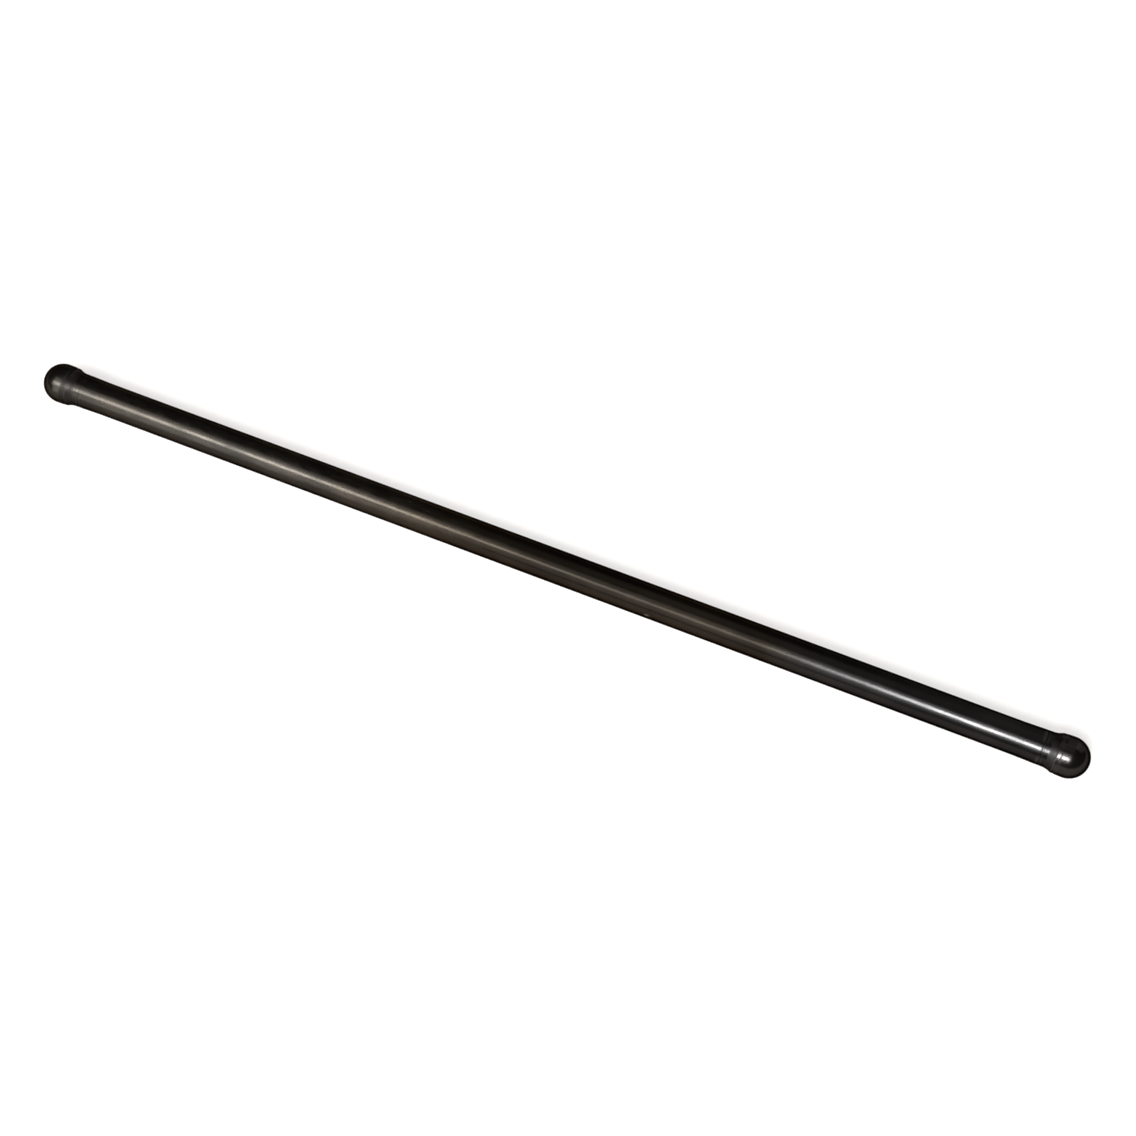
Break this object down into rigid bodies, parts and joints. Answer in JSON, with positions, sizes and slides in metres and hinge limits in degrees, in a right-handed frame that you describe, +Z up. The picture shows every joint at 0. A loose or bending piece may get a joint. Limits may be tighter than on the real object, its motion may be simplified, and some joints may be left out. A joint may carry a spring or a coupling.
{
  "type": "engine pushrod",
  "caption": "Solid steel engine pushrod with a ground ball on each end, a crowned band, a tapered shoulder, a waisted neck and a collar, in dark oiled steel",
  "frame": {"origin": "middle of the rod, on its axis", "axes": "X along the rod, +Z up when it lies on its balls; the two ends are alike"},
  "size_m": [0.26, 0.0096, 0.0096],
  "materials": {
    "dark_steel": "dark, thinly oiled steel: ground shank, polished balls, duller necks"
  },
  "bodies": {
    "root": {"pushrod": "dark_steel"}
  },
  "joints": []
}
